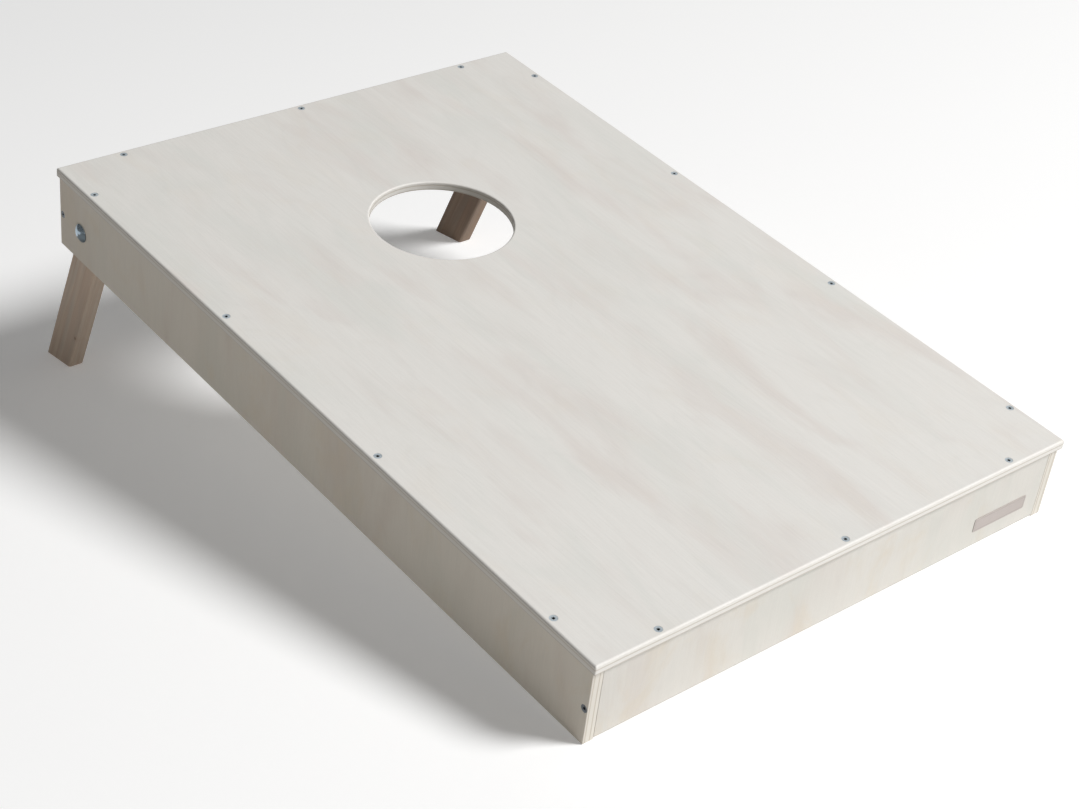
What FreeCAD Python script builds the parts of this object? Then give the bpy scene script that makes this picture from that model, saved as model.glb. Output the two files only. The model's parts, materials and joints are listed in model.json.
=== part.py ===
import FreeCAD, Part
import math
import os

# Cornhole board standing on its two unfolded legs. Lengths are in millimetres, angles in degrees.
#
# Every piece is first drawn in the board's own flat frame: x runs to the right as seen from the
# front, y from the deck's front edge to its back edge, and z is square to the deck, with z = 0 on
# the playing surface. The last section tilts the whole board to its playing slope and sets it on
# the ground, with the origin under the middle of the overall box.

# Deck
DECK_LENGTH = 900.0
DECK_WIDTH = 600.0
DECK_THICKNESS = 10.0
DECK_CORNER_ROUND = 1.2
DECK_TOP_ROUND = 2.5
DECK_BOTTOM_ROUND = 0.8
BOARD_TILT = 11.2

# Bag hole
HOLE_RADIUS = 77.0
HOLE_FROM_BACK = 277.5
HOLE_TOP_ROUND = 2.0
HOLE_BOTTOM_ROUND = 1.0

# Frame rails, all cut from one thicker plywood
RAIL_THICKNESS = 12.0
SIDE_OVERHANG = 2.0
FRONT_OVERHANG = 3.5
BACK_OVERHANG = 2.5
SIDE_RAIL_HEIGHT = 83.0
FRONT_RAIL_HEIGHT = 81.0
RAIL_EDGE_ROUND = 0.8

# Legs
LEG_WIDTH = 45.0
LEG_THICKNESS = 18.0
LEG_EDGE_ROUND = 3.0
LEG_LEAN = 21.2
FOOT_CHAMFER = 0.8
LEG_BORE_RADIUS = 4.05
LEG_PIVOT_FROM_BACK = 47.0
LEG_PIVOT_BELOW_TOP = 56.0
LEG_SIDE_PLAY = 0.2
LEG_STOP_GAP = 0.3

# Carriage bolts, M8 x 45
BOLT_LENGTH = 45.0
BOLT_RADIUS = 4.0
BOLT_HEAD_RADIUS = 10.2
BOLT_HEAD_HEIGHT = 4.8
BOLT_HEAD_RIM = 0.8
BOLT_NECK_WIDTH = 8.0
BOLT_NECK_DEPTH = 4.5
THREAD_LENGTH = 15.0
THREAD_PITCH = 1.25
THREAD_DEPTH = 0.6
RAIL_BORE_RADIUS = 4.2
NECK_GAP = 0.1

# Washers and self-locking nuts
WASHER_BORE_RADIUS = 4.2
SPACER_RADIUS = 8.0
SPACER_THICKNESS = 1.0
WIDE_WASHER_RADIUS = 12.0
WIDE_WASHER_THICKNESS = 2.0
WASHER_CHAMFER = 0.25
NUT_ACROSS_FLATS = 13.0
NUT_HEX_HEIGHT = 6.0
NUT_HEIGHT = 8.0
NUT_BORE_RADIUS = 4.05
NUT_COLLAR_RADIUS = 6.0
NUT_COLLAR_ROUND = 0.7
INSERT_RADIUS = 4.95
INSERT_GAP = 0.04
INSERT_HEIGHT = 1.6

# Wood screws, 4 mm countersunk with a six-lobe drive
SCREW_HEAD_RADIUS = 4.0
SCREW_HEAD_RIM = 0.4
SCREW_RADIUS = 2.0
SCREW_TIP_LENGTH = 5.0
SCREW_SUNK = 0.2
SCREW_INSET = 8.0
SCREW_GAP = 0.05
DRIVE_CORE_RADIUS = 1.3
DRIVE_LOBE_RADIUS = 0.45
DRIVE_LOBE_CIRCLE = 1.5
DRIVE_DEPTH = 1.8
DECK_SCREW_LENGTH = 35.0
CORNER_SCREW_LENGTH = 50.0
END_ROW_X = (-225.0, 0.0, 225.0)
SIDE_ROW_FIRST = 66.0
SIDE_ROW_SPACING = 256.0
SIDE_ROW_COUNT = 4
CORNER_SCREW_BELOW_TOP = 54.0

# Blank plate on the front rail
PLATE_WIDTH = 75.0
PLATE_HEIGHT = 16.0
PLATE_THICKNESS = 0.6
PLATE_CENTRE_X = 228.0
PLATE_BELOW_TOP = 64.5
PLATE_CORNER_ROUND = 1.5

TINY = 1e-4
ORIGIN = FreeCAD.Vector(0, 0, 0)
X_AXIS = FreeCAD.Vector(1, 0, 0)
Y_AXIS = FreeCAD.Vector(0, 1, 0)
Z_AXIS = FreeCAD.Vector(0, 0, 1)

# Places that several pieces share
RAIL_X = DECK_WIDTH / 2 - SIDE_OVERHANG
RAIL_FRONT_Y = FRONT_OVERHANG
RAIL_BACK_Y = DECK_LENGTH - BACK_OVERHANG
HOLE_Y = DECK_LENGTH - HOLE_FROM_BACK
PIVOT_Y = DECK_LENGTH - LEG_PIVOT_FROM_BACK
PIVOT_Z = -LEG_PIVOT_BELOW_TOP
SPACER_X = RAIL_X - RAIL_THICKNESS
LEG_X = SPACER_X - SPACER_THICKNESS - LEG_SIDE_PLAY
WIDE_WASHER_X = LEG_X - LEG_THICKNESS - LEG_SIDE_PLAY
NUT_X = WIDE_WASHER_X - WIDE_WASHER_THICKNESS
SIDE_ROW_Y = [SIDE_ROW_FIRST + SIDE_ROW_SPACING * i for i in range(SIDE_ROW_COUNT)]
SIDES = {"left": -1, "right": 1}


def turned(outline):
    """Solid of revolution about the z axis, from its outline as (radius, height) points."""
    points = [FreeCAD.Vector(radius, 0, height) for radius, height in outline]
    return Part.Face(Part.makePolygon(points + points[:1])).revolve(ORIGIN, Z_AXIS, 360)


def edges_at_height(shape, height):
    """The edges that lie whole in the plane z = height."""
    return [edge for edge in shape.Edges
            if abs(edge.BoundBox.ZMin - height) < TINY and abs(edge.BoundBox.ZMax - height) < TINY]


def along_x(shape, side, x, y, z):
    """Point a piece drawn on the z axis outwards at one side: its +z becomes +x right, -x left."""
    placed = shape.copy()
    placed.rotate(ORIGIN, Y_AXIS, 90 * side)
    placed.translate(FreeCAD.Vector(side * x, y, z))
    return placed


def plain_box(x_range, y_range, z_range):
    size = [high - low for low, high in (x_range, y_range, z_range)]
    return Part.makeBox(*size, FreeCAD.Vector(x_range[0], y_range[0], z_range[0]))


# ---- Screws -------------------------------------------------------------------------------------

def screw_body(length, gap):
    """Countersunk screw on the z axis, head up, its top at z = 0; gap swells it into its hole."""
    head = SCREW_HEAD_RADIUS + gap
    shank = SCREW_RADIUS + gap
    head_depth = SCREW_HEAD_RIM + SCREW_HEAD_RADIUS - SCREW_RADIUS
    outline = [(0, 0), (head, 0), (head, -SCREW_HEAD_RIM), (shank, -head_depth),
               (shank, SCREW_TIP_LENGTH - length), (0, -length - gap)]
    return turned(outline)


def screw(length):
    floor = FreeCAD.Vector(0, 0, -DRIVE_DEPTH)
    drive = Part.makeCylinder(DRIVE_CORE_RADIUS, DRIVE_DEPTH, floor)
    for lobe in range(6):
        angle = math.radians(60 * lobe)
        centre = floor + FreeCAD.Vector(math.cos(angle), math.sin(angle), 0) * DRIVE_LOBE_CIRCLE
        drive = drive.fuse(Part.makeCylinder(DRIVE_LOBE_RADIUS, DRIVE_DEPTH, centre))
    return screw_body(length, 0).cut(drive)


def screw_hole(length):
    mouth = Part.makeCylinder(SCREW_HEAD_RADIUS + SCREW_GAP, DECK_THICKNESS)
    return screw_body(length, SCREW_GAP).fuse(mouth)


def deck_screw_places():
    """Deck screws by row: the front and back edges, and the two long sides."""
    side_x = DECK_WIDTH / 2 - SCREW_INSET
    return {
        "front": [(x, SCREW_INSET) for x in END_ROW_X],
        "back": [(x, DECK_LENGTH - SCREW_INSET) for x in END_ROW_X],
        "left": [(-side_x, y) for y in SIDE_ROW_Y],
        "right": [(side_x, y) for y in SIDE_ROW_Y],
    }


def deck_row(shape, row):
    copies = []
    for x, y in deck_screw_places()[row]:
        copies.append(shape.translated(FreeCAD.Vector(x, y, -SCREW_SUNK)))
    return Part.makeCompound(copies)


def corner_pair(shape, side):
    """Copies of a screw or its hole through one side rail, into the front and back rails."""
    ends = (SCREW_INSET, DECK_LENGTH - SCREW_INSET)
    x = RAIL_X - SCREW_SUNK
    return Part.makeCompound([along_x(shape, side, x, y, -CORNER_SCREW_BELOW_TOP) for y in ends])


# ---- Deck and rails -----------------------------------------------------------------------------

def deck():
    half = DECK_WIDTH / 2
    panel = plain_box((-half, half), (0, DECK_LENGTH), (-DECK_THICKNESS, 0))
    panel = panel.makeFillet(DECK_TOP_ROUND, edges_at_height(panel, 0))
    corners = [edge for edge in panel.Edges if edge.BoundBox.ZLength > DECK_TOP_ROUND / 2]
    panel = panel.makeFillet(DECK_CORNER_ROUND, corners)
    panel = panel.makeFillet(DECK_BOTTOM_ROUND, edges_at_height(panel, -DECK_THICKNESS))

    bottom = FreeCAD.Vector(0, HOLE_Y, -DECK_THICKNESS)
    bore = Part.makeCylinder(HOLE_RADIUS, DECK_THICKNESS, bottom)
    panel = panel.cut(bore)
    panel = panel.makeFillet(HOLE_TOP_ROUND, rim_edges(panel, 0))
    panel = panel.makeFillet(HOLE_BOTTOM_ROUND, rim_edges(panel, -DECK_THICKNESS))
    for row in deck_screw_places():
        panel = panel.cut(deck_row(screw_hole(DECK_SCREW_LENGTH), row))
    return panel


def rim_edges(panel, height):
    """The bag hole's round edges at one face of the panel."""
    return [edge for edge in edges_at_height(panel, height)
            if abs(edge.BoundBox.XLength - 2 * HOLE_RADIUS) < 1]


def eased_rail(x_range, y_range, height):
    rail = plain_box(x_range, y_range, (-DECK_THICKNESS - height, -DECK_THICKNESS))
    return rail.makeFillet(RAIL_EDGE_ROUND, rail.Edges)


def side_rail(name):
    side = SIDES[name]
    x_range = sorted((side * RAIL_X, side * (RAIL_X - RAIL_THICKNESS)))
    rail = eased_rail(x_range, (RAIL_FRONT_Y, RAIL_BACK_Y), SIDE_RAIL_HEIGHT)
    rail = rail.cut(deck_row(screw_hole(DECK_SCREW_LENGTH), name))
    rail = rail.cut(corner_pair(screw_hole(CORNER_SCREW_LENGTH), side))
    neck_width = BOLT_NECK_WIDTH + 2 * NECK_GAP
    neck_depth = BOLT_NECK_DEPTH + NECK_GAP
    corner = FreeCAD.Vector(-neck_width / 2, -neck_width / 2, -neck_depth)
    socket = Part.makeBox(neck_width, neck_width, neck_depth, corner)
    inner_face = FreeCAD.Vector(0, 0, -RAIL_THICKNESS)
    bore = Part.makeCylinder(RAIL_BORE_RADIUS, RAIL_THICKNESS, inner_face)
    return rail.cut(along_x(socket.fuse(bore), side, RAIL_X, PIVOT_Y, PIVOT_Z))


def end_rail(name):
    """Front or back rail, butted between the side rails."""
    half = RAIL_X - RAIL_THICKNESS
    if name == "front":
        y_range = (RAIL_FRONT_Y, RAIL_FRONT_Y + RAIL_THICKNESS)
        height = FRONT_RAIL_HEIGHT
    else:
        y_range = (RAIL_BACK_Y - RAIL_THICKNESS, RAIL_BACK_Y)
        height = back_rail_height()
    rail = eased_rail((-half, half), y_range, height)
    rail = rail.cut(deck_row(screw_hole(DECK_SCREW_LENGTH), name))
    for side in SIDES.values():
        rail = rail.cut(corner_pair(screw_hole(CORNER_SCREW_LENGTH), side))
    return rail


def back_rail_height():
    """Height at which the rail's lower inner edge stops the leg at its unfolded lean."""
    lean = math.radians(LEG_LEAN)
    edge_round = RAIL_EDGE_ROUND
    centre_y = RAIL_BACK_Y - RAIL_THICKNESS + edge_round - PIVOT_Y
    reach = LEG_WIDTH / 2 + LEG_STOP_GAP + edge_round
    centre_z = (reach - centre_y * math.cos(lean)) / math.sin(lean)
    return -DECK_THICKNESS - (PIVOT_Z + centre_z - edge_round)


def name_plate():
    half = PLATE_WIDTH / 2
    x_range = (PLATE_CENTRE_X - half, PLATE_CENTRE_X + half)
    z_range = (-PLATE_BELOW_TOP - PLATE_HEIGHT / 2, -PLATE_BELOW_TOP + PLATE_HEIGHT / 2)
    plate = plain_box(x_range, (RAIL_FRONT_Y - PLATE_THICKNESS, RAIL_FRONT_Y), z_range)
    corners = [edge for edge in plate.Edges if edge.BoundBox.YLength > PLATE_THICKNESS / 2]
    return plate.makeFillet(PLATE_CORNER_ROUND, corners)


# ---- Legs and their pivots ----------------------------------------------------------------------

def leg(name, standing):
    """Round-topped leg hung from its pivot, leaning back, its foot cut to lie flat on the ground."""
    side = SIDES[name]
    half = LEG_WIDTH / 2
    inner_x = LEG_X - LEG_THICKNESS
    uncut_length = DECK_LENGTH / 2
    bar = plain_box((inner_x, LEG_X), (-half, half), (-uncut_length, 0))
    top = Part.makeCylinder(half, LEG_THICKNESS, FreeCAD.Vector(inner_x, 0, 0), X_AXIS)
    blank = bar.fuse(top).removeSplitter()
    long_edges = [edge for edge in blank.Edges
                  if edge.BoundBox.XLength < TINY and edge.BoundBox.ZMax > TINY - uncut_length]
    blank = blank.makeFillet(LEG_EDGE_ROUND, long_edges)
    blank = blank.cut(Part.makeCylinder(LEG_BORE_RADIUS, DECK_WIDTH, ORIGIN, X_AXIS))
    blank.rotate(ORIGIN, X_AXIS, LEG_LEAN)
    blank.translate(FreeCAD.Vector(0, PIVOT_Y, PIVOT_Z))

    ground = plain_box((0, DECK_WIDTH), (0, 2 * DECK_LENGTH), (-DECK_LENGTH, 0))
    ground.Placement = standing.inverse()
    blank = blank.cut(ground)
    blank = blank.makeChamfer(FOOT_CHAMFER, foot_edges(blank, standing))
    if side < 0:
        blank = blank.mirror(ORIGIN, X_AXIS)
    return blank


def foot_edges(shape, standing):
    """The outline of the face that rests on the ground."""
    for face in shape.Faces:
        if abs(standing.multVec(face.CenterOfMass).z) < TINY:
            return face.OuterWire.Edges
    raise ValueError("the leg has no foot")


def carriage_bolt():
    """Domed carriage bolt on the z axis, its head's seat at z = 0."""
    crown = FreeCAD.Vector(0, 0, BOLT_HEAD_HEIGHT)
    rim_top = FreeCAD.Vector(BOLT_HEAD_RADIUS, 0, BOLT_HEAD_RIM)
    rise = BOLT_HEAD_HEIGHT - BOLT_HEAD_RIM
    sphere = (BOLT_HEAD_RADIUS ** 2 + rise ** 2) / (2 * rise)
    half_angle = math.asin(BOLT_HEAD_RADIUS / sphere) / 2
    middle = FreeCAD.Vector(sphere * math.sin(half_angle), 0,
                            BOLT_HEAD_HEIGHT - sphere * (1 - math.cos(half_angle)))
    rim_foot = FreeCAD.Vector(BOLT_HEAD_RADIUS, 0, 0)
    dome_edges = [Part.makeLine(ORIGIN, rim_foot), Part.makeLine(rim_foot, rim_top),
                  Part.Arc(rim_top, middle, crown).toShape(), Part.makeLine(crown, ORIGIN)]
    dome = Part.Face(Part.Wire(dome_edges)).revolve(ORIGIN, Z_AXIS, 360)

    half_neck = BOLT_NECK_WIDTH / 2
    corner = FreeCAD.Vector(-half_neck, -half_neck, -BOLT_NECK_DEPTH)
    neck = Part.makeBox(BOLT_NECK_WIDTH, BOLT_NECK_WIDTH, BOLT_NECK_DEPTH, corner)
    return dome.fuse(neck).fuse(turned(shank_outline()))


def shank_outline():
    """Shank with its thread drawn as ring grooves, and a chamfered tip."""
    root = BOLT_RADIUS - THREAD_DEPTH
    outline = [(0, 0), (BOLT_RADIUS, 0)]
    start = THREAD_LENGTH - BOLT_LENGTH
    for ring in range(int(THREAD_LENGTH / THREAD_PITCH) - 1):
        height = start - ring * THREAD_PITCH
        outline.append((BOLT_RADIUS, height))
        outline.append((root, height - 0.45 * THREAD_PITCH))
        outline.append((root, height - 0.55 * THREAD_PITCH))
        outline.append((BOLT_RADIUS, height - 0.9 * THREAD_PITCH))
    outline.append((BOLT_RADIUS, THREAD_PITCH - BOLT_LENGTH))
    outline.append((root, -BOLT_LENGTH))
    outline.append((0, -BOLT_LENGTH))
    return outline


def washer(outer_radius, thickness):
    """Flat washer on the z axis, filling z = -thickness to 0."""
    rim = outer_radius - WASHER_CHAMFER
    outline = [(WASHER_BORE_RADIUS, 0), (rim, 0), (outer_radius, -WASHER_CHAMFER),
               (outer_radius, WASHER_CHAMFER - thickness), (rim, -thickness),
               (WASHER_BORE_RADIUS, -thickness)]
    return turned(outline)


def lock_nut():
    """Self-locking nut on the z axis, seated at z = 0 and reaching down to -NUT_HEIGHT."""
    corner_radius = NUT_ACROSS_FLATS / math.sqrt(3)
    flat_radius = NUT_ACROSS_FLATS / 2
    corners = []
    for corner in range(7):
        angle = math.radians(60 * corner)
        corners.append(FreeCAD.Vector(math.cos(angle), math.sin(angle), 0) * corner_radius)
    hexagon = Part.Face(Part.makePolygon(corners)).extrude(FreeCAD.Vector(0, 0, -NUT_HEX_HEIGHT))
    bevel = (corner_radius - flat_radius) * math.tan(math.radians(30))
    envelope = turned([(0, 0), (flat_radius, 0), (corner_radius, -bevel),
                       (corner_radius, bevel - NUT_HEX_HEIGHT), (flat_radius, -NUT_HEX_HEIGHT),
                       (0, -NUT_HEX_HEIGHT)])
    collar = turned([(0, -NUT_HEX_HEIGHT), (NUT_COLLAR_RADIUS, -NUT_HEX_HEIGHT),
                     (NUT_COLLAR_RADIUS, NUT_COLLAR_ROUND - NUT_HEIGHT),
                     (NUT_COLLAR_RADIUS - NUT_COLLAR_ROUND, -NUT_HEIGHT), (0, -NUT_HEIGHT)])
    blank = hexagon.common(envelope).fuse(collar)
    bottom = FreeCAD.Vector(0, 0, -NUT_HEIGHT)
    bore = Part.makeCylinder(NUT_BORE_RADIUS, NUT_HEIGHT, bottom)
    seat = Part.makeCylinder(INSERT_RADIUS + INSERT_GAP, NUT_HEIGHT - NUT_HEX_HEIGHT, bottom)
    return blank.cut(bore).cut(seat)


def nut_insert():
    """Locking ring in the nut's collar."""
    top = -NUT_HEX_HEIGHT
    return turned([(NUT_BORE_RADIUS, top), (INSERT_RADIUS, top),
                   (INSERT_RADIUS, top - INSERT_HEIGHT), (NUT_BORE_RADIUS, top - INSERT_HEIGHT)])


def pivot_piece(shape, name, x):
    return along_x(shape, SIDES[name], x, PIVOT_Y, PIVOT_Z)


# ---- Assembly -----------------------------------------------------------------------------------

def tilt_on_ground():
    """Placement that tilts the flat board and brings the side rails' front foot down to z = 0."""
    tilt = math.radians(BOARD_TILT)
    edge_round = RAIL_EDGE_ROUND
    corner_y = RAIL_FRONT_Y + edge_round
    corner_z = -DECK_THICKNESS - SIDE_RAIL_HEIGHT + edge_round
    lowest = corner_y * math.sin(tilt) + corner_z * math.cos(tilt) - edge_round
    return FreeCAD.Placement(FreeCAD.Vector(0, 0, -lowest), FreeCAD.Rotation(X_AXIS, BOARD_TILT))


def board_pieces(standing):
    """Every piece by its node name, in the board's flat frame."""
    pieces = {"deck": deck(), "front_rail": end_rail("front"), "back_rail": end_rail("back")}
    for row in deck_screw_places():
        pieces[f"deck_screws_{row}"] = deck_row(screw(DECK_SCREW_LENGTH), row)
    for name, side in SIDES.items():
        pieces[f"side_rail_{name}"] = side_rail(name)
        pieces[f"corner_screws_{name}"] = corner_pair(screw(CORNER_SCREW_LENGTH), side)
        pieces[f"leg_{name}"] = leg(name, standing)
        pieces[f"leg_bolt_{name}"] = pivot_piece(carriage_bolt(), name, RAIL_X)
        spacer = washer(SPACER_RADIUS, SPACER_THICKNESS)
        pieces[f"leg_spacer_{name}"] = pivot_piece(spacer, name, SPACER_X)
        wide_washer = washer(WIDE_WASHER_RADIUS, WIDE_WASHER_THICKNESS)
        pieces[f"leg_washer_{name}"] = pivot_piece(wide_washer, name, WIDE_WASHER_X)
        pieces[f"lock_nut_{name}"] = pivot_piece(lock_nut(), name, NUT_X)
        pieces[f"nut_insert_{name}"] = pivot_piece(nut_insert(), name, NUT_X)
    pieces["name_plate"] = name_plate()
    return pieces


def tilted_copy(shape, standing):
    copy = shape.copy()
    copy.Placement = standing.multiply(copy.Placement)
    return copy


def stand_up(pieces, standing):
    """Tilt every piece, then centre the overall box over the origin; also returns that last shift."""
    tilted = {node: tilted_copy(shape, standing) for node, shape in pieces.items()}
    box = Part.makeCompound(list(tilted.values())).optimalBoundingBox()
    shift = FreeCAD.Vector(-box.Center.x, -box.Center.y, 0)
    for shape in tilted.values():
        shape.translate(shift)
    return tilted, shift


def main():
    standing = tilt_on_ground()
    pieces, shift = stand_up(board_pieces(standing), standing)
    os.makedirs("parts", exist_ok=True)
    for node, shape in pieces.items():
        shape.exportStep(f"parts/{node}.step")
    for label, point in (("hole", (0, HOLE_Y, 0)), ("pivot", (LEG_X, PIVOT_Y, PIVOT_Z)),
                         ("deck middle", (0, DECK_LENGTH / 2, 0))):
        print(label, standing.multVec(FreeCAD.Vector(*point)) + shift)
    print("back rail height", back_rail_height())


main()
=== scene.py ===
import json
import math

import bpy
from mathutils import Matrix, Quaternion, Vector


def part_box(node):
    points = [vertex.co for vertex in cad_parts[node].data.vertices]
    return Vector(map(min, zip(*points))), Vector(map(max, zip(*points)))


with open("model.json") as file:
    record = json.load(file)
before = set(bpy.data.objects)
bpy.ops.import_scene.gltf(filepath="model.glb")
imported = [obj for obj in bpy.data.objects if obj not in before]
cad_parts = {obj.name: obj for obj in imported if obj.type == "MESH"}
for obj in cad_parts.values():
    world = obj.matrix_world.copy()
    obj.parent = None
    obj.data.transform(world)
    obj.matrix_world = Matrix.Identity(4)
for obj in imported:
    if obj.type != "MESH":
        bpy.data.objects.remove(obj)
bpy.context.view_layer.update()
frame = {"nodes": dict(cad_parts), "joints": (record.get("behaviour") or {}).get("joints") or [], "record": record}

# Materials measure in millimetres in the board's flat frame: x to the right, y from the deck's
# front edge to its back edge, z square to the deck with 0 on the playing surface.
MM = 0.001
RIGHT = Vector((1, 0, 0))
WHITE = (1.0, 1.0, 1.0)


# ---- Where the board lies -----------------------------------------------------------------------

def board_placement():
    """Matrix from the board's flat frame, in metres, to the frame that it stands in."""
    surface = next(m for m in frame["record"]["mounts"] if m["name"] == "playing_surface")
    normal = Vector(surface["axis"])
    along = normal.cross(RIGHT)
    deck_vertices = frame["nodes"]["deck"].data.vertices
    front = min(vertex.co.dot(along) for vertex in deck_vertices)
    origin = along * front + normal * Vector(surface["pos_m"]).dot(normal)
    rotation = Matrix((RIGHT, along, normal)).transposed().to_4x4()
    return Matrix.Translation(origin) @ rotation


BOARD = board_placement()


def flat_box(node):
    """Lowest and highest corner of a node in the board's flat frame, in mm."""
    points = [BOARD.inverted() @ vertex.co / MM for vertex in frame["nodes"][node].data.vertices]
    return [Vector(pick(point[axis] for point in points) for axis in range(3)) for pick in (min, max)]


# ---- Node graph helper --------------------------------------------------------------------------

class Graph:
    """Short names for building one material's node tree."""

    def __init__(self, name):
        self.material = bpy.data.materials.new(name)
        self.material.use_nodes = True
        self.tree = self.material.node_tree
        self.tree.nodes.clear()
        self.shader = self.add("ShaderNodeBsdfPrincipled")
        output = self.add("ShaderNodeOutputMaterial")
        self.tree.links.new(self.shader.outputs["BSDF"], output.inputs["Surface"])

    def add(self, kind, **settings):
        node = self.tree.nodes.new(kind)
        for key, value in settings.items():
            setattr(node, key, value)
        return node

    def plug(self, socket, value):
        """Link a socket or set a constant; None leaves the socket as it is."""
        if isinstance(value, bpy.types.NodeSocket):
            self.tree.links.new(value, socket)
        elif value is not None:
            socket.default_value = value

    def math(self, operation, a, b=None):
        node = self.add("ShaderNodeMath", operation=operation)
        for socket, value in zip(node.inputs, (a, b)):
            self.plug(socket, value)
        return node.outputs[0]

    def vector(self, operation, a, b=None):
        """Vector maths; the result is a vector, or a number for a length or a dot product."""
        node = self.add("ShaderNodeVectorMath", operation=operation)
        self.plug(node.inputs[0], a)
        self.plug(node.inputs[1], b)
        return node.outputs["Value"] if operation in ("LENGTH", "DOT_PRODUCT") else node.outputs[0]

    def combine(self, x, y, z):
        node = self.add("ShaderNodeCombineXYZ")
        for socket, value in zip(node.inputs, (x, y, z)):
            self.plug(socket, value)
        return node.outputs[0]

    def split(self, vector):
        node = self.add("ShaderNodeSeparateXYZ")
        self.plug(node.inputs[0], vector)
        return node.outputs

    def noise(self, vector, detail=2.0, roughness=0.5, distortion=0.0):
        """Noise from 0 to 1 with a cell of about one unit of vector."""
        node = self.add("ShaderNodeTexNoise")
        self.plug(node.inputs["Vector"], vector)
        node.inputs["Scale"].default_value = 1.0
        node.inputs["Detail"].default_value = detail
        node.inputs["Roughness"].default_value = roughness
        node.inputs["Distortion"].default_value = distortion
        return node.outputs["Fac"]

    def ramp(self, value, low, high, to_low=0.0, to_high=1.0, smooth=True):
        """Value from low..high brought to to_low..to_high, and held at both ends."""
        node = self.add("ShaderNodeMapRange", clamp=True)
        node.interpolation_type = "SMOOTHSTEP" if smooth else "LINEAR"
        for key, item in (("Value", value), ("From Min", low), ("From Max", high),
                          ("To Min", to_low), ("To Max", to_high)):
            self.plug(node.inputs[key], item)
        return node.outputs["Result"]

    def blend(self, factor, a, b, mode="MIX"):
        """Colour a turned into b by factor; both are sockets or three numbers."""
        node = self.add("ShaderNodeMix", data_type="RGBA", blend_type=mode)
        self.plug(node.inputs["Factor"], factor)
        colour_sockets = [socket for socket in node.inputs if socket.type == "RGBA"]
        for socket, colour in zip(colour_sockets, (a, b)):
            self.plug(socket, colour if isinstance(colour, bpy.types.NodeSocket) else (*colour, 1.0))
        return next(socket for socket in node.outputs if socket.type == "RGBA")

    def tone(self, colour, factor):
        """Colour multiplied by one factor in all three channels, or by a tone of three numbers."""
        if isinstance(factor, bpy.types.NodeSocket):
            factor = self.combine(factor, factor, factor)
        return self.blend(1.0, colour, factor, "MULTIPLY")

    def bump(self, height_mm):
        """Relief of the given height on the shader's normal."""
        node = self.add("ShaderNodeBump")
        node.inputs["Strength"].default_value = 1.0
        node.inputs["Distance"].default_value = MM
        self.plug(node.inputs["Height"], height_mm)
        self.plug(self.shader.inputs["Normal"], node.outputs["Normal"])

    def stretched(self, vector, lengths, offset=0.0):
        """Coordinates whose unit is the given length, in mm, along each axis."""
        scaled = self.vector("MULTIPLY", vector, tuple(1.0 / length for length in lengths))
        return self.vector("ADD", scaled, (offset, 2.3 * offset, -1.7 * offset))

    def local(self, placement, order="xyz", normal=False):
        """Object coordinates in mm, or the object's normal, in a flat frame, with axes reordered."""
        source = self.add("ShaderNodeTexCoord").outputs["Normal" if normal else "Object"]
        inverse = placement.inverted()
        node = self.add("ShaderNodeMapping", vector_type="VECTOR" if normal else "POINT")
        self.plug(node.inputs["Vector"], source)
        node.inputs["Rotation"].default_value = inverse.to_euler()
        if not normal:
            node.inputs["Scale"].default_value = (1 / MM,) * 3
            node.inputs["Location"].default_value = inverse.translation / MM
        axes = dict(zip("xyz", self.split(node.outputs[0])))
        return [axes[letter] for letter in order]


# ---- Plywood ------------------------------------------------------------------------------------

FACE_PALE = (0.775, 0.757, 0.722)
FACE_PINK = (0.722, 0.678, 0.640)
FACE_COOL = (0.733, 0.729, 0.692)
FACE_WARM = (0.745, 0.680, 0.585)
EDGE_PALE = (0.765, 0.742, 0.700)
EDGE_DARK = (0.590, 0.540, 0.475)
PORE = (0.420, 0.345, 0.270)
KNOT = (0.450, 0.320, 0.220)

# Tones that multiply a panel's face veneer or its cut edges; the deck's face is the palest.
# ACROSS_EDGE_TONE comes on top for edges that face across the veneer's grain.
DECK_EDGE_TONE = (0.91, 0.91, 0.91)
RAIL_EDGE_TONE = (0.97, 0.965, 0.95)
# The side rails' warmer, duller tone is painted shade, from the board's shaded left side.
SIDE_RAIL_PAINTED_SHADE_TONE = (0.78, 0.735, 0.665)
END_RAIL_TONE = (0.78, 0.77, 0.75)
ACROSS_EDGE_TONE = (0.88, 0.865, 0.84)

# Plies on the cut edges, in mm: a dark ply fades from PLY_CORE to PLY_RIM on each side of its middle,
# whose depth wanders by up to PLY_WANDER.
PLY_CORE = 0.45
PLY_RIM = 0.95
PLY_WANDER = 0.35

# Square of the normal's part through the panel: at least ALL_FACE is face veneer, at most ALL_CUT is
# cut edge, and the panel's rounded rims blend the two.
ALL_FACE = 0.62
ALL_CUT = 0.12


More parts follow.
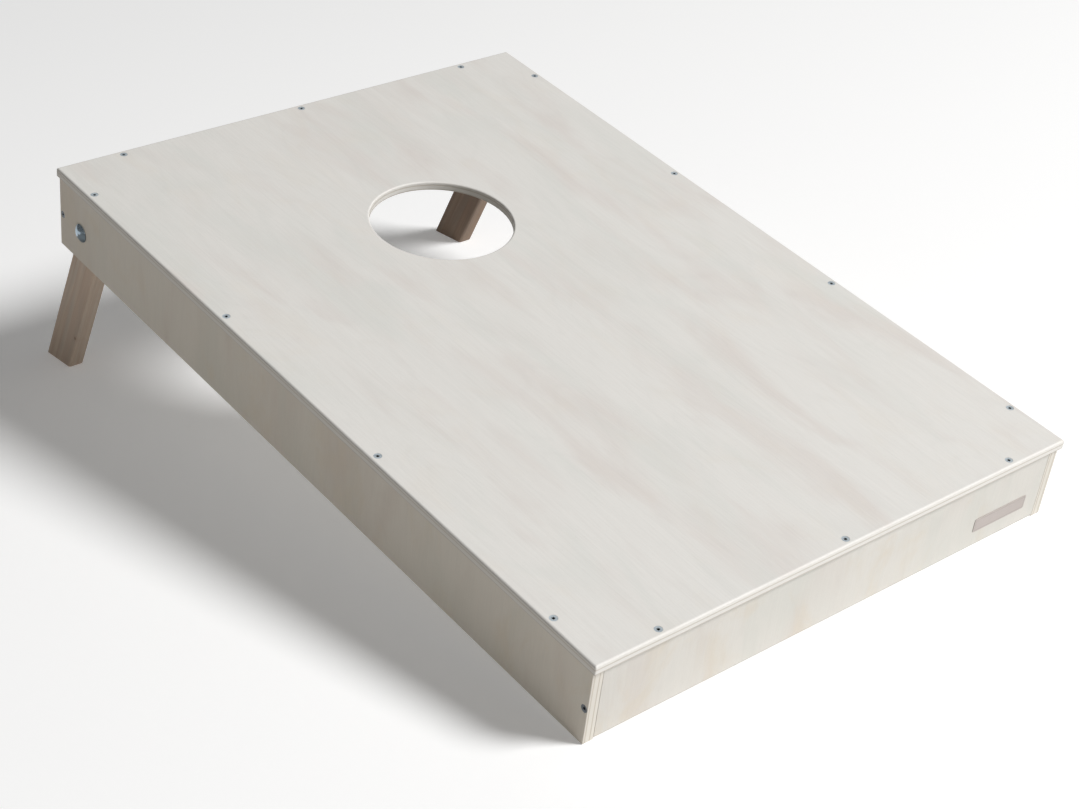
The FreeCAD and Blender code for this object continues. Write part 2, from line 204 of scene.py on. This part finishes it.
def veneer(g, place, warmth, seed):
    """Colour, streaks and relief of the washed face veneer; its grain runs along place's first axis."""
    cloud = g.noise(g.stretched(place, (230, 75, 75), seed), 3.0, 0.55, 0.8)
    tint = g.noise(g.stretched(place, (170, 52, 60), seed + 7), 3.0, 0.5, 0.6)
    flow = g.noise(g.stretched(place, (300, 64, 90), seed + 13), 1.0, 0.4, 0.5)
    contour = g.ramp(g.math("PINGPONG", g.math("MULTIPLY", flow, 24.0), 1.0), 0.0, 0.45)
    streak = g.noise(g.stretched(place, (65, 1.8, 1.8), seed + 3), 3.0, 0.6)
    fibre = g.noise(g.stretched(place, (9, 0.35, 0.35), seed + 5), 2.0, 0.6)
    pore = g.ramp(g.noise(g.stretched(place, (3.5, 0.28, 0.28), seed + 9), 0.0), 0.70, 0.80)

    colour = g.blend(g.ramp(tint, 0.44, 0.74, 0.0, 0.8), FACE_PALE, FACE_PINK)
    colour = g.blend(g.ramp(cloud, 0.46, 0.70, 0.0, 0.85), colour, FACE_COOL)
    patch = g.noise(g.stretched(place, (85, 55, 60), seed + 41), 4.0, 0.6, 0.7)
    colour = g.blend(g.ramp(patch, 0.50, 0.72, 0.0, warmth), colour, FACE_WARM)
    shade = g.ramp(streak, 0.25, 0.75, 0.975, 1.015)
    shade = g.math("MULTIPLY", shade, g.ramp(contour, 0.0, 1.0, 0.988, 1.0))
    shade = g.math("MULTIPLY", shade, g.ramp(fibre, 0.2, 0.8, 0.985, 1.012))
    colour = g.tone(colour, shade)
    colour = g.blend(g.math("MULTIPLY", pore, 0.12), colour, PORE)
    height = g.math("ADD", g.math("MULTIPLY", fibre, 0.015), g.math("MULTIPLY", streak, 0.020))
    height = g.math("SUBTRACT", height, g.math("MULTIPLY", pore, 0.025))
    return colour, streak, height


def pin_knots(g, place, colour, seed):
    """A few small knots with a faint warm halo."""
    cells = g.add("ShaderNodeTexVoronoi", feature="F1")
    cells.inputs["Scale"].default_value = 1.0
    g.plug(cells.inputs["Vector"], g.stretched(place, (190, 130, 400), seed))
    spot = cells.outputs["Distance"]
    chosen = g.math("GREATER_THAN", g.split(cells.outputs["Color"])[0], 0.66)
    halo = g.math("MULTIPLY", chosen, g.ramp(spot, 0.0, 0.07, 0.35, 0.0))
    heart = g.math("MULTIPLY", chosen, g.ramp(spot, 0.003, 0.009, 0.6, 0.0))
    return g.blend(heart, g.blend(halo, colour, FACE_PINK), KNOT)


def cut_edge(g, place, depth, dark_plies, seed):
    """Colour and relief of the plies on a cut edge; dark_plies are depths of the dark ones, in mm."""
    wave = g.noise(g.stretched(place, (120, 120, 120), seed), 1.0)
    depth = g.math("ADD", depth, g.ramp(wave, 0.2, 0.8, -PLY_WANDER, PLY_WANDER))
    dark = 0.0
    for centre in dark_plies:
        away = g.math("ABSOLUTE", g.math("SUBTRACT", depth, centre))
        dark = g.math("MAXIMUM", dark, g.ramp(away, PLY_CORE, PLY_RIM, 1.0, 0.0))
    speckle = g.noise(g.stretched(place, (0.6, 0.6, 0.6), seed + 14), 2.0, 0.7)
    run = g.noise(g.stretched(place, (45, 45, 0.5), seed + 16), 2.0, 0.6)
    run_across = g.noise(g.combine(g.math("DIVIDE", depth, 0.5), seed, 0.0), 2.0, 0.6)
    colour = g.blend(g.math("MULTIPLY", dark, 0.85), EDGE_PALE, EDGE_DARK)
    colour = g.blend(g.ramp(speckle, 0.50, 0.80, 0.0, 0.22), colour, EDGE_DARK)
    shade = g.math("MULTIPLY", g.ramp(run, 0.25, 0.75, 0.965, 1.02),
                   g.ramp(run_across, 0.25, 0.75, 0.965, 1.02))
    colour = g.tone(colour, shade)
    relief = g.math("ADD", g.math("MULTIPLY", dark, -0.06), g.math("MULTIPLY", speckle, -0.05))
    return colour, relief


def plywood(name, order, outer_face, dark_plies, face_tone, edge_tone, warmth, seed):
    """Whitewashed birch plywood.

    order names the board axes that run along the face veneer's grain, across it, and through the
    panel's thickness; outer_face is where the outer face lies on that last axis, and dark_plies are
    the depths of the dark plies behind it. warmth is how far the veneer's warm patches show.
    """
    g = Graph(name)
    along, across, through = g.local(BOARD, order)
    _, normal_across, normal_through = g.local(BOARD, order, normal=True)
    depth = g.math("ABSOLUTE", g.math("SUBTRACT", through, outer_face))
    place = g.combine(along, across, through)

    face, streak, face_height = veneer(g, place, warmth, seed)
    face = g.tone(pin_knots(g, place, face, seed + 21), face_tone)
    edge, edge_height = cut_edge(g, place, depth, dark_plies, seed + 17)
    edge = g.tone(edge, edge_tone)
    facing_across = g.math("MULTIPLY", normal_across, normal_across)
    edge = g.blend(facing_across, edge, g.tone(edge, ACROSS_EDGE_TONE))
    facing_out = g.math("MULTIPLY", normal_through, normal_through)
    cut = g.ramp(facing_out, ALL_FACE, ALL_CUT)
    g.plug(g.shader.inputs["Base Color"], g.blend(cut, face, edge))
    g.plug(g.shader.inputs["Roughness"], g.ramp(streak, 0.2, 0.8, 0.50, 0.62))
    g.shader.inputs["Specular IOR Level"].default_value = 0.35
    g.bump(g.math("ADD", face_height, g.math("MULTIPLY", cut, edge_height)))
    return g.material


# ---- Leg timber ---------------------------------------------------------------------------------

TIMBER_LIGHT = (0.570, 0.452, 0.350)
TIMBER_RED = (0.445, 0.302, 0.218)
TIMBER_GREY = (0.500, 0.418, 0.340)
TIMBER_KNOT = (0.120, 0.075, 0.050)
# Painted shade: the right leg is a darker copy of the left leg's timber.
RIGHT_LEG_PAINTED_SHADE = (0.44, 0.39, 0.355)

# In mm in the leg's own frame: the growth rings' heart (x, y), which lies outside the leg, their
# spacing and wander, and the one small knot (y, z), low on the outer face.
RING_HEART = (-44.0, -16.0)
RING_SPACING = 5.2
RING_WANDER = 13.0
KNOT_MIDDLE = (-19.0, -172.0)
KNOT_RADII = (1.6, 2.4)


def leg_placement(side):
    """Flat frame of one leg: z up its length, origin at its pivot, x across the board."""
    joint = next(j for j in frame["joints"] if j["child"] == f"leg_{side}")
    low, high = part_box(f"leg_{side}")
    pivot = Vector(joint["pos_m"])
    vertices = frame["nodes"][f"leg_{side}"].data.vertices
    foot = [vertex.co for vertex in vertices if vertex.co.z < low.z + 0.5 * MM]
    middle = (min(point.y for point in foot) + max(point.y for point in foot)) / 2
    length_axis = Vector((0, pivot.y - middle, pivot.z - low.z)).normalized()
    width_axis = length_axis.cross(RIGHT)
    rotation = Matrix((RIGHT, width_axis, length_axis)).transposed().to_4x4()
    return Matrix.Translation(Vector(((low.x + high.x) / 2, pivot.y, pivot.z))) @ rotation


def timber(side, tone, seed):
    """Planed, greyed softwood with growth rings and one small knot."""
    g = Graph(f"leg_timber_{side}")
    placement = leg_placement(side)
    x, y, z = g.local(placement)
    _, _, normal_z = g.local(placement, normal=True)
    place = g.combine(x, y, z)
    wander = g.noise(g.stretched(place, (60, 60, 200), seed), 2.0, 0.5)
    drift = g.ramp(wander, 0.0, 1.0, -RING_WANDER, RING_WANDER, smooth=False)

    heart_x, heart_y = RING_HEART
    ring_x = g.math("SUBTRACT", x, heart_x)
    ring_y = g.math("ADD", y, g.math("SUBTRACT", drift, heart_y))
    radius = g.vector("LENGTH", g.combine(ring_x, ring_y, 0.0))
    ring = g.math("FRACT", g.math("DIVIDE", radius, RING_SPACING))
    late = g.math("MULTIPLY", g.ramp(ring, 0.15, 0.85), g.ramp(ring, 0.90, 1.0, 1.0, 0.0))

    streak = g.noise(g.stretched(place, (3.2, 3.2, 130), seed + 2), 2.0, 0.55)
    fibre = g.noise(g.stretched(place, (0.35, 0.35, 12), seed + 4), 2.0, 0.6)
    stain = g.noise(g.stretched(place, (15, 13, 120), seed + 6), 3.0, 0.5)

    colour = g.blend(g.ramp(stain, 0.38, 0.66), TIMBER_LIGHT, TIMBER_GREY)
    colour = g.blend(g.math("MULTIPLY", late, 0.32), colour, TIMBER_RED)
    colour = g.blend(g.ramp(streak, 0.50, 0.76, 0.0, 0.55), colour, TIMBER_RED)
    colour = g.tone(colour, g.ramp(fibre, 0.2, 0.8, 0.94, 1.04))

    knot_y, knot_z = (g.math("DIVIDE", g.math("SUBTRACT", value, centre), size)
                      for value, centre, size in zip((y, z), KNOT_MIDDLE, KNOT_RADII))
    knot = g.vector("LENGTH", g.combine(knot_y, knot_z, 0.0))
    outside = g.math("LESS_THAN" if side == "left" else "GREATER_THAN", x, 0.0)
    halo = g.math("MULTIPLY", outside, g.ramp(knot, 0.8, 3.2, 0.40, 0.0))
    core = g.math("MULTIPLY", outside, g.ramp(knot, 0.5, 1.2, 0.60, 0.0))
    colour = g.blend(core, g.blend(halo, colour, TIMBER_RED), TIMBER_KNOT)

    end_cut = g.math("MULTIPLY", normal_z, normal_z)
    colour = g.blend(g.math("MULTIPLY", end_cut, 0.45), colour, TIMBER_RED)
    # tone puts painted shade on the right leg's copy of this timber.
    g.plug(g.shader.inputs["Base Color"], g.tone(colour, tone))
    g.plug(g.shader.inputs["Roughness"], g.ramp(streak, 0.2, 0.8, 0.55, 0.70))
    g.shader.inputs["Specular IOR Level"].default_value = 0.3
    g.bump(g.math("ADD", g.math("MULTIPLY", late, 0.03), g.math("MULTIPLY", fibre, 0.03)))
    return g.material


# ---- Hardware and plate -------------------------------------------------------------------------

# The bolts' colours are the zinc's blue-silver with painted reflections: sky-blue for the sky, near-black for the
# ground.
BOLT_PAINTED_SKY_REFLECTION = (0.50, 0.62, 0.72)
BOLT_PAINTED_GROUND_REFLECTION = (0.13, 0.16, 0.18)
DECK_SCREW_BRIGHT = (0.66, 0.74, 0.79)
DECK_SCREW_DULL = (0.50, 0.57, 0.62)
# The side screws' zinc is darkened with painted shade, far darker than the deck screws'.
SIDE_SCREW_PAINTED_SHADE_PALE = (0.19, 0.21, 0.23)
SIDE_SCREW_PAINTED_SHADE_DARK = (0.10, 0.11, 0.12)
# Painted shade in the screws' drive recesses.
DRIVE_PAINTED_SHADE = (0.035, 0.035, 0.035)
DECK_SCREW_LEVEL = 0.2
# Direction in which the bolts' painted reflection turns to the dark ground colour.
PAINTED_REFLECTION_DARKER_TOWARDS = (0.0, -0.55, -0.83)

PLATE_PALE = (0.470, 0.422, 0.398)
PLATE_MIDDLE = (0.385, 0.337, 0.315)
PLATE_DARK = (0.340, 0.297, 0.275)
BORDER_DARK = (0.20, 0.175, 0.16)
BORDER_INSET = 1.8

NYLON_CLEAR = (0.62, 0.66, 0.66)
NYLON_MILKY = (0.80, 0.83, 0.80)


def zinc(name, bright, dull, metallic, roughness, seed, head=None, middle=None):
    """Zinc plating that has dulled in patches.

    head is the board axis along which screw heads face, with their distance from 0 on it, in mm;
    the drive, which lies deeper, is darkened with painted shade. middle is a bolt's centre, in mm;
    the bolts' bright and dull patches are painted reflections of sky and ground on the zinc, and the
    dull one takes over below the centre and towards the front.
    """
    g = Graph(name)
    place = g.combine(*g.local(BOARD))
    bloom_and_painted_reflection = g.noise(g.stretched(place, (9, 9, 9), seed), 3.0, 0.55)
    grit = g.noise(g.stretched(place, (0.35, 0.35, 0.35), seed + 3), 2.0, 0.6)
    if middle:
        # Painted reflection: below the bolt's centre and towards the front the dull colour takes over.
        low = g.vector("DOT_PRODUCT", g.vector("SUBTRACT", place, middle), PAINTED_REFLECTION_DARKER_TOWARDS)
        bloom_and_painted_reflection = g.math("ADD", bloom_and_painted_reflection, g.ramp(low, -6.0, 6.0, -0.22, 0.22))
    colour = g.blend(g.ramp(bloom_and_painted_reflection, 0.42, 0.60), bright, dull)
    if head:
        axis, level = head
        along = g.math("ABSOLUTE", g.local(BOARD, axis)[0])
        below = g.math("ABSOLUTE", g.math("SUBTRACT", along, level))
        # Painted shade: the drive recess below the head is darkened.
        colour = g.blend(g.ramp(below, 0.25, 0.7), colour, DRIVE_PAINTED_SHADE)
    g.plug(g.shader.inputs["Base Color"], colour)
    g.plug(g.shader.inputs["Roughness"], g.ramp(bloom_and_painted_reflection, 0.3, 0.7, roughness, roughness + 0.14))
    g.shader.inputs["Metallic"].default_value = metallic
    g.bump(g.math("MULTIPLY", grit, 0.012))
    return g.material


def nylon():
    """Milky nylon of the nuts' locking rings."""
    g = Graph("nylon")
    place = g.combine(*g.local(BOARD))
    mottle = g.noise(g.stretched(place, (1.5, 1.5, 1.5), 4.0), 2.0)
    colour = g.blend(mottle, NYLON_CLEAR, NYLON_MILKY)
    g.plug(g.shader.inputs["Base Color"], colour)
    g.shader.inputs["Roughness"].default_value = 0.38
    g.shader.inputs["Subsurface Weight"].default_value = 0.15
    g.shader.inputs["Subsurface Scale"].default_value = 1.0 * MM
    g.bump(g.math("MULTIPLY", mottle, 0.02))
    return g.material


def plate():
    """Blank matt plate with a thin border line."""
    g = Graph("plate")
    x, y, z = g.local(BOARD)
    low, high = flat_box("name_plate")
    centre, half = (low + high) / 2, (high - low) / 2
    margin_x = g.math("SUBTRACT", half.x, g.math("ABSOLUTE", g.math("SUBTRACT", x, centre.x)))
    margin_z = g.math("SUBTRACT", half.z, g.math("ABSOLUTE", g.math("SUBTRACT", z, centre.z)))
    margin = g.math("MINIMUM", margin_x, margin_z)
    line = g.math("ABSOLUTE", g.math("SUBTRACT", margin, BORDER_INSET))
    border = g.ramp(line, 0.15, 0.35, 1.0, 0.0)
    place = g.combine(x, y, z)
    brushed = g.noise(g.stretched(place, (14, 0.3, 0.3), 2.0), 3.0, 0.6)
    mottle = g.noise(g.stretched(place, (6, 6, 6), 5.0), 3.0, 0.6)
    colour = g.blend(mottle, PLATE_MIDDLE, PLATE_PALE)
    colour = g.blend(g.ramp(brushed, 0.35, 0.75, 0.0, 0.35), colour, PLATE_DARK)
    colour = g.blend(g.math("MULTIPLY", border, 0.55), colour, BORDER_DARK)
    g.plug(g.shader.inputs["Base Color"], colour)
    g.plug(g.shader.inputs["Roughness"], g.ramp(mottle, 0.3, 0.7, 0.42, 0.55))
    g.bump(g.math("SUBTRACT", g.math("MULTIPLY", brushed, 0.01), g.math("MULTIPLY", border, 0.06)))
    return g.material


# ---- Each piece's material ----------------------------------------------------------------------

def dress(node, material):
    for slot in frame["nodes"][node].material_slots:
        slot.material = material


def dress_boards():
    """Each panel's axis order, outer face, dark plies, face tone, edge tone and warmth."""
    left, right = flat_box("side_rail_left")[0].x, flat_box("side_rail_right")[1].x
    front, back = flat_box("front_rail")[0].y, flat_box("back_rail")[1].y
    boards = {
        "deck": ("yxz", 0.0, (4.1, 9.2), WHITE, DECK_EDGE_TONE, 0.15),
        # Both side rails carry the painted shade tone of the board's shaded left side.
        "side_rail_left": ("zyx", left, (2.4, 8.0), SIDE_RAIL_PAINTED_SHADE_TONE, RAIL_EDGE_TONE, 0.45),
        "side_rail_right": ("zyx", right, (3.0, 9.0), SIDE_RAIL_PAINTED_SHADE_TONE, RAIL_EDGE_TONE, 0.45),
        "front_rail": ("zxy", front, (2.6, 9.2), END_RAIL_TONE, RAIL_EDGE_TONE, 0.60),
        "back_rail": ("zxy", back, (2.6, 9.2), END_RAIL_TONE, RAIL_EDGE_TONE, 0.60),
    }
    for seed, (node, facts) in enumerate(boards.items(), 1):
        dress(node, plywood(f"{node}_plywood", *facts, float(seed)))


def dress_small_pieces():
    rail_x = flat_box("side_rail_right")[1].x
    bolt_middle = sum(flat_box("leg_bolt_left"), Vector()) / 2
    # The bolts' zinc carries painted reflections of sky and ground.
    bolt_zinc_painted_reflection = zinc("bolt_zinc_painted_reflection", BOLT_PAINTED_SKY_REFLECTION, BOLT_PAINTED_GROUND_REFLECTION, metallic=0.9, roughness=0.22, seed=1.0,
                     middle=(0.0, bolt_middle.y, bolt_middle.z))
    deck_zinc = zinc("deck_screw_zinc", DECK_SCREW_BRIGHT, DECK_SCREW_DULL, metallic=0.4,
                     roughness=0.34, seed=6.0, head=("z", DECK_SCREW_LEVEL))
    # Painted shade makes the side screws dark.
    side_zinc_painted_shade = zinc("side_screw_zinc_painted_shade", SIDE_SCREW_PAINTED_SHADE_PALE, SIDE_SCREW_PAINTED_SHADE_DARK, metallic=0.9,
                     roughness=0.26, seed=6.0, head=("x", rail_x))
    nylon_ring = nylon()
    for side, tone, seed in (("left", WHITE, 11.0), ("right", RIGHT_LEG_PAINTED_SHADE, 12.0)):
        dress(f"leg_{side}", timber(side, tone, seed))
        for piece in ("leg_bolt", "leg_spacer", "leg_washer", "lock_nut"):
            dress(f"{piece}_{side}", bolt_zinc_painted_reflection)
        dress(f"corner_screws_{side}", side_zinc_painted_shade)
        dress(f"nut_insert_{side}", nylon_ring)
    for row in ("front", "back", "left", "right"):
        dress(f"deck_screws_{row}", deck_zinc)
    dress("name_plate", plate())


dress_boards()
dress_small_pieces()


# ---- Floor, light and camera, in metres and degrees ---------------------------------------------

FLOOR_RADIUS = 60.0
FLOOR_CORNERS = 96
FLOOR_DROP = 0.05 * MM
FLOOR_GLOW = 0.18
FLOOR_GREY = (0.925, 0.925, 0.925)
FLOOR_PALE = (0.94, 0.94, 0.94)

KEY_TOWARDS = (0.40, -0.62, 0.675)
KEY_DISTANCE = 10.0
KEY_WIDTH = 3.4
KEY_IRRADIANCE = 3.40
SKY_COLOUR = (1.0, 0.98, 0.94)
SKY_STRENGTH = 0.11

CAMERA_PLACE = (-1.2365, -1.6246, 1.0944)
CAMERA_AZIMUTH = -41.163
CAMERA_ELEVATION = 27.5
CAMERA_ROLL = 0.278
SENSOR_WIDTH_MM = 36.0
FOCAL_LENGTH_MM = 71.88
LENS_SHIFT = -0.0927


def floor():
    """Pale round floor, just below the feet, that glows a little."""
    mesh = bpy.data.meshes.new("floor")
    turns = [2 * math.pi * corner / FLOOR_CORNERS for corner in range(FLOOR_CORNERS)]
    rim = [(FLOOR_RADIUS * math.cos(turn), FLOOR_RADIUS * math.sin(turn), 0) for turn in turns]
    mesh.from_pydata(rim, [], [list(range(FLOOR_CORNERS))])
    ground = bpy.data.objects.new("floor", mesh)
    bpy.context.scene.collection.objects.link(ground)
    g = Graph("floor_paper")
    place = g.combine(*g.local(Matrix.Identity(4)))
    tone = g.noise(g.stretched(place, (900, 900, 900), 1.0), 2.0)
    g.plug(g.shader.inputs["Base Color"], g.blend(tone, FLOOR_GREY, FLOOR_PALE))
    g.shader.inputs["Emission Color"].default_value = (*WHITE, 1.0)
    g.shader.inputs["Emission Strength"].default_value = FLOOR_GLOW
    g.shader.inputs["Roughness"].default_value = 0.85
    g.shader.inputs["Specular IOR Level"].default_value = 0.1
    mesh.materials.append(g.material)
    ground.location.z = -FLOOR_DROP


def key_light():
    """Large round light at the front right and above; it gives about KEY_IRRADIANCE at the board."""
    data = bpy.data.lights.new("key", "AREA")
    data.shape = "DISK"
    data.size = KEY_WIDTH
    data.energy = KEY_IRRADIANCE * math.pi * KEY_DISTANCE ** 2
    data.color = WHITE
    light = bpy.data.objects.new("key", data)
    direction = Vector(KEY_TOWARDS).normalized()
    light.location = direction * KEY_DISTANCE
    light.rotation_mode = "QUATERNION"
    light.rotation_quaternion = direction.to_track_quat("Z", "Y")
    bpy.context.scene.collection.objects.link(light)


def sky():
    """Faint warm light from all round."""
    world = bpy.data.worlds.new("studio")
    world.use_nodes = True
    background = world.node_tree.nodes["Background"]
    background.inputs["Color"].default_value = (*SKY_COLOUR, 1.0)
    background.inputs["Strength"].default_value = SKY_STRENGTH
    bpy.context.scene.world = world


def camera():
    """Long lens at the front left, above the board."""
    azimuth, elevation = math.radians(CAMERA_AZIMUTH), math.radians(CAMERA_ELEVATION)
    roll = Quaternion((0, 0, 1), math.radians(CAMERA_ROLL))
    data = bpy.data.cameras.new("camera")
    data.sensor_width = SENSOR_WIDTH_MM
    data.lens = FOCAL_LENGTH_MM
    data.shift_x = LENS_SHIFT
    seat = bpy.data.objects.new("camera", data)
    back = Vector((math.sin(azimuth) * math.cos(elevation),
                   -math.cos(azimuth) * math.cos(elevation), math.sin(elevation)))
    seat.location = CAMERA_PLACE
    seat.rotation_mode = "QUATERNION"
    seat.rotation_quaternion = back.to_track_quat("Z", "Y") @ roll
    bpy.context.scene.collection.objects.link(seat)
    bpy.context.scene.camera = seat


floor()
key_light()
sky()
camera()
bpy.context.scene.view_settings.view_transform = "Standard"
